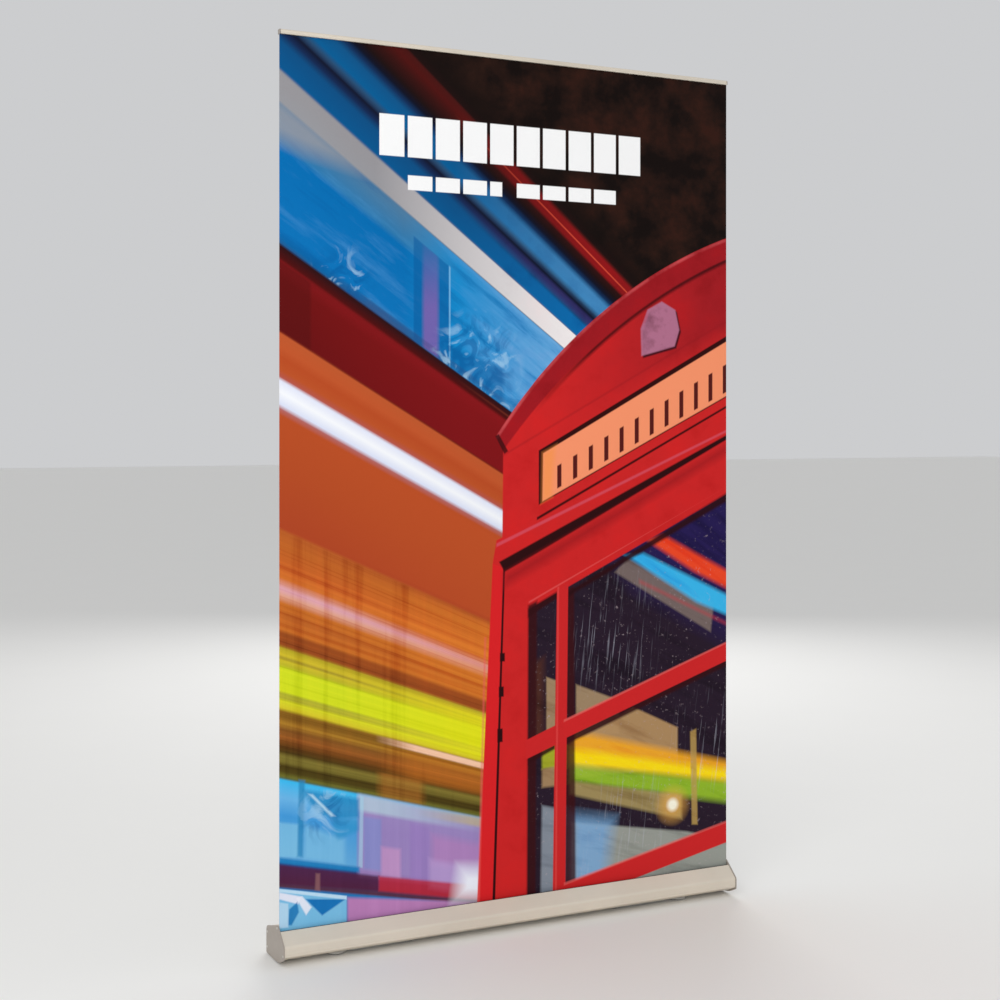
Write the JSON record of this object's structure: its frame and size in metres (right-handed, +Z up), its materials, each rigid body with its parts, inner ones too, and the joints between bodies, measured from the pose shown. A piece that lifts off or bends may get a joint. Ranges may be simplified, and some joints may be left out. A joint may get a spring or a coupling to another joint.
{
  "type": "roll-up banner stand",
  "caption": "Roll-up banner stand with a wide teardrop base, spring roller, tall printed graphic, clamp rail and telescopic pole.",
  "frame": {"origin": "centre of the footprint on the floor, under the middle of the base", "axes": "+X along the banner to the viewer's right, -Y the printed front, +Z up"},
  "size_m": [1.2064, 0.124, 2.0859],
  "materials": {
    "base_aluminium": "satin warm silver anodised extrusion with fine lengthwise grain",
    "end_cap_paint": "satin champagne silver moulding",
    "zinc_screws": "bright zinc plated steel",
    "base_rubber": "matt black rubber",
    "roller_aluminium": "mill finish",
    "leader_film": "white polyester film",
    "nylon": "natural nylon",
    "spring_steel": "oiled steel",
    "printed_graphic": "satin laminated print on the front, grey blockout back",
    "brush_felt": "dark grey pile",
    "black_plastic": "moulded black nylon, fine texture",
    "pole_aluminium": "satin silver anodised tube",
    "rail_aluminium": "satin warm silver anodised extrusion",
    "foot_steel": "silver powder coat"
  },
  "bodies": {
    "root": {"base_shell": "base_aluminium", "end_cap_left": "end_cap_paint", "end_cap_right": "end_cap_paint", "cap_screw_left_1": "zinc_screws", "cap_screw_left_2": "zinc_screws", "cap_screw_left_3": "zinc_screws", "cap_screw_left_4": "zinc_screws", "cap_screw_right_1": "zinc_screws", "cap_screw_right_2": "zinc_screws", "cap_screw_right_3": "zinc_screws", "cap_screw_right_4": "zinc_screws", "base_pad_left_front": "base_rubber", "base_pad_left_rear": "base_rubber", "base_pad_right_front": "base_rubber", "base_pad_right_rear": "base_rubber", "pole_socket": "black_plastic", "pole_lower": "pole_aluminium", "pole_foot_plug": "black_plastic", "spring_shaft": "spring_steel", "idler_pin": "spring_steel", "torsion_spring": "spring_steel", "slot_brush": "brush_felt", "slot_felt": "brush_felt", "graphic_sheet": "printed_graphic", "foot_bolt_left": "spring_steel", "foot_bolt_right": "spring_steel", "foot_washer_left": "nylon", "foot_washer_right": "nylon", "foot_nut_plate_left": "spring_steel", "foot_nut_plate_right": "spring_steel"},
    "roller": {"roller_tube": "roller_aluminium", "graphic_leader_coil": "leader_film", "roller_plug_left": "nylon", "roller_plug_right": "nylon", "spring_driver": "nylon"},
    "lower_lock_collar": {"lower_lock_collar": "black_plastic"},
    "pole_mid": {"pole_mid": "pole_aluminium", "pole_mid_cam": "nylon"},
    "upper_lock_collar": {"upper_lock_collar": "black_plastic"},
    "pole_upper": {"pole_upper": "pole_aluminium", "pole_upper_cam": "nylon", "pole_hook": "black_plastic", "rail_body": "rail_aluminium", "rail_grip_strip": "base_rubber", "rail_plug_left": "end_cap_paint", "rail_plug_right": "end_cap_paint"},
    "rail_jaw": {"rail_jaw": "rail_aluminium"},
    "foot_left": {"foot_left": "foot_steel", "foot_tip_pad_left": "base_rubber", "foot_hub_pad_left": "base_rubber"},
    "foot_right": {"foot_right": "foot_steel", "foot_tip_pad_right": "base_rubber", "foot_hub_pad_right": "base_rubber"}
  },
  "joints": [
    {"name": "pole_mid_slide", "type": "slide", "parent": "root", "child": "pole_mid", "axis": [0, 0, 1], "range_m": [-0.56, 0], "deforming": ["graphic_sheet"]},
    {"name": "pole_upper_slide", "type": "slide", "parent": "pole_mid", "child": "pole_upper", "axis": [0, 0, 1], "range_m": [-0.56, 0]},
    {"name": "roller_spin", "type": "hinge", "parent": "root", "child": "roller", "pos_m": [0, -0.0351, 0.0375], "axis": [1, 0, 0], "range_deg": [-4660, 0]},
    {"name": "lower_collar_twist", "type": "hinge", "parent": "root", "child": "lower_lock_collar", "pos_m": [0, 0.003, 0.6963], "axis": [0, 0, 1], "range_deg": [0, 90]},
    {"name": "upper_collar_twist", "type": "hinge", "parent": "pole_mid", "child": "upper_lock_collar", "pos_m": [0, 0.003, 1.38], "axis": [0, 0, 1], "range_deg": [0, 90]},
    {"name": "rail_jaw_swing", "type": "hinge", "parent": "pole_upper", "child": "rail_jaw", "pos_m": [0, -0.0236, 2.08306], "axis": [1, 0, 0], "range_deg": [-45, 0]},
    {"name": "foot_left_swing", "type": "hinge", "parent": "root", "child": "foot_left", "pos_m": [-0.46, 0.001, 0.005], "axis": [0, 0, 1], "range_deg": [-90, 0]},
    {"name": "foot_right_swing", "type": "hinge", "parent": "root", "child": "foot_right", "pos_m": [0.46, 0.001, 0.005], "axis": [0, 0, 1], "range_deg": [0, 90]}
  ],
  "couplings": [
    {"joint": "pole_upper_slide", "follows": "pole_mid_slide", "ratio": 1},
    {"joint": "roller_spin", "follows": "pole_mid_slide", "rad_per_m": 144.93}
  ]
}
